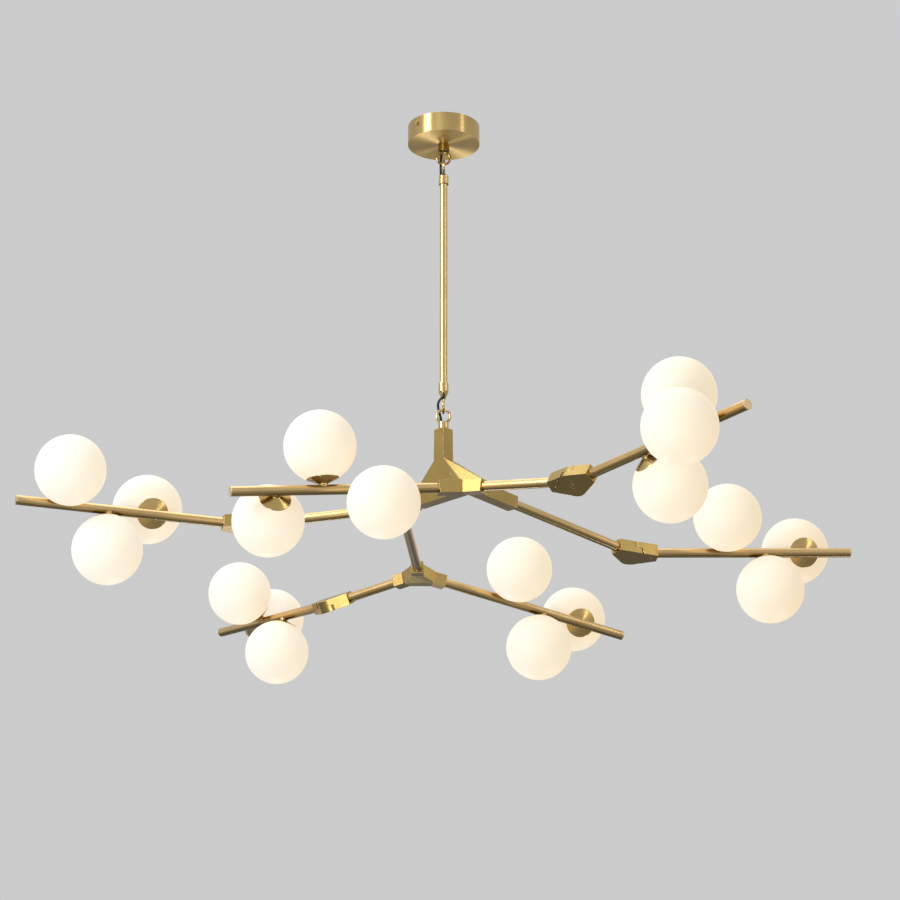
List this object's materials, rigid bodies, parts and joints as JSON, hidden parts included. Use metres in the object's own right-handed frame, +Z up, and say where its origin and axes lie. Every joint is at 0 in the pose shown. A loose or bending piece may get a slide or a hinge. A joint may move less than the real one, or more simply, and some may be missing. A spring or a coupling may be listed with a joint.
{
  "type": "branch chandelier",
  "caption": "Ceiling chandelier: a rod on linked eyes carries a branching frame of square hubs and round tubes with folding knuckles and round opal glass globes.",
  "frame": {"origin": "ceiling face of the bracket, on the axis of the rod and canopy", "axes": "+Z up, away from the lamp into the ceiling; +X to the right and +Y away from the viewer of the picture"},
  "size_m": [1.4498, 1.4361, 0.8564],
  "materials": {
    "canopy_brass": "brushed",
    "tube_brass": "satin polished",
    "hub_brass": "satin",
    "screw_brass": "satin",
    "bracket_steel": "zinc plated",
    "opal_glass": "satin opal",
    "lampholder_white": "glazed",
    "lamp_glow": "frosted",
    "black_lead": "matt"
  },
  "bodies": {
    "canopy": {"ceiling_bracket": "bracket_steel", "canopy_cover": "canopy_brass", "canopy_side_screws": "screw_brass", "canopy_eye": "tube_brass"},
    "rod": {"upper_rod_eye": "tube_brass", "down_rod": "tube_brass", "lower_rod_eye": "tube_brass", "lead_wire_top": "black_lead", "lead_wire_bottom": "black_lead"},
    "frame": {"frame_eye": "tube_brass", "main_hub": "hub_brass", "corner_hub": "hub_brass", "lower_hub": "hub_brass", "hub_link_tube": "tube_brass", "hub_long_tube": "tube_brass", "arm_tube_a": "tube_brass", "arm_tube_c": "tube_brass", "arm_tube_e": "tube_brass", "arm_tube_f": "tube_brass", "knuckle_inner_a": "hub_brass", "knuckle_inner_c": "hub_brass", "knuckle_inner_e": "hub_brass", "knuckle_inner_f": "hub_brass", "knuckle_bolts": "screw_brass", "frame_set_screws": "screw_brass", "branch_tube_b": "tube_brass", "branch_tube_d": "tube_brass", "globes_frame": "opal_glass", "cups_frame": "tube_brass", "lampholders_frame": "lampholder_white", "lamps_frame": "lamp_glow", "end_plugs_frame": "tube_brass"},
    "branch_a": {"branch_tube_a": "tube_brass", "knuckle_outer_a": "hub_brass", "globes_a": "opal_glass", "cups_a": "tube_brass", "lampholders_a": "lampholder_white", "lamps_a": "lamp_glow", "end_plugs_a": "tube_brass"},
    "branch_c": {"branch_tube_c": "tube_brass", "knuckle_outer_c": "hub_brass", "globes_c": "opal_glass", "cups_c": "tube_brass", "lampholders_c": "lampholder_white", "lamps_c": "lamp_glow", "end_plugs_c": "tube_brass"},
    "branch_e": {"branch_tube_e": "tube_brass", "knuckle_outer_e": "hub_brass", "globes_e": "opal_glass", "cups_e": "tube_brass", "lampholders_e": "lampholder_white", "lamps_e": "lamp_glow", "end_plugs_e": "tube_brass"},
    "branch_f": {"branch_tube_f": "tube_brass", "knuckle_outer_f": "hub_brass", "globes_f": "opal_glass", "cups_f": "tube_brass", "lampholders_f": "lampholder_white", "lamps_f": "lamp_glow", "end_plugs_f": "tube_brass"}
  },
  "joints": [
    {"name": "rod_swing", "type": "hinge", "parent": "canopy", "child": "rod", "pos_m": [0, 0, -0.07075], "axis": [1, 0, 0], "range_deg": [-30, 30], "deforming": ["lead_wire_top"]},
    {"name": "frame_swing", "type": "hinge", "parent": "rod", "child": "frame", "pos_m": [0, 0, -0.53145], "axis": [0, 1, 0], "range_deg": [-30, 30], "deforming": ["lead_wire_bottom"]},
    {"name": "knuckle_a_fold", "type": "hinge", "parent": "frame", "child": "branch_a", "pos_m": [-0.33738, 0.14573, -0.68456], "axis": [-0.01, 0.0827, 0.9965], "range_deg": [-60, 32]},
    {"name": "knuckle_c_fold", "type": "hinge", "parent": "frame", "child": "branch_c", "pos_m": [-0.21143, 0.56914, -0.70422], "axis": [0.3474, 0.3403, -0.8738], "range_deg": [-75, 36]},
    {"name": "knuckle_e_fold", "type": "hinge", "parent": "frame", "child": "branch_e", "pos_m": [0.21233, -0.1537, -0.70535], "axis": [-0.3739, -0.3484, -0.8595], "range_deg": [-85, 44]},
    {"name": "knuckle_f_fold", "type": "hinge", "parent": "frame", "child": "branch_f", "pos_m": [0.33281, 0.27884, -0.69388], "axis": [0.0814, -0.1563, -0.9844], "range_deg": [-55, 28]}
  ]
}
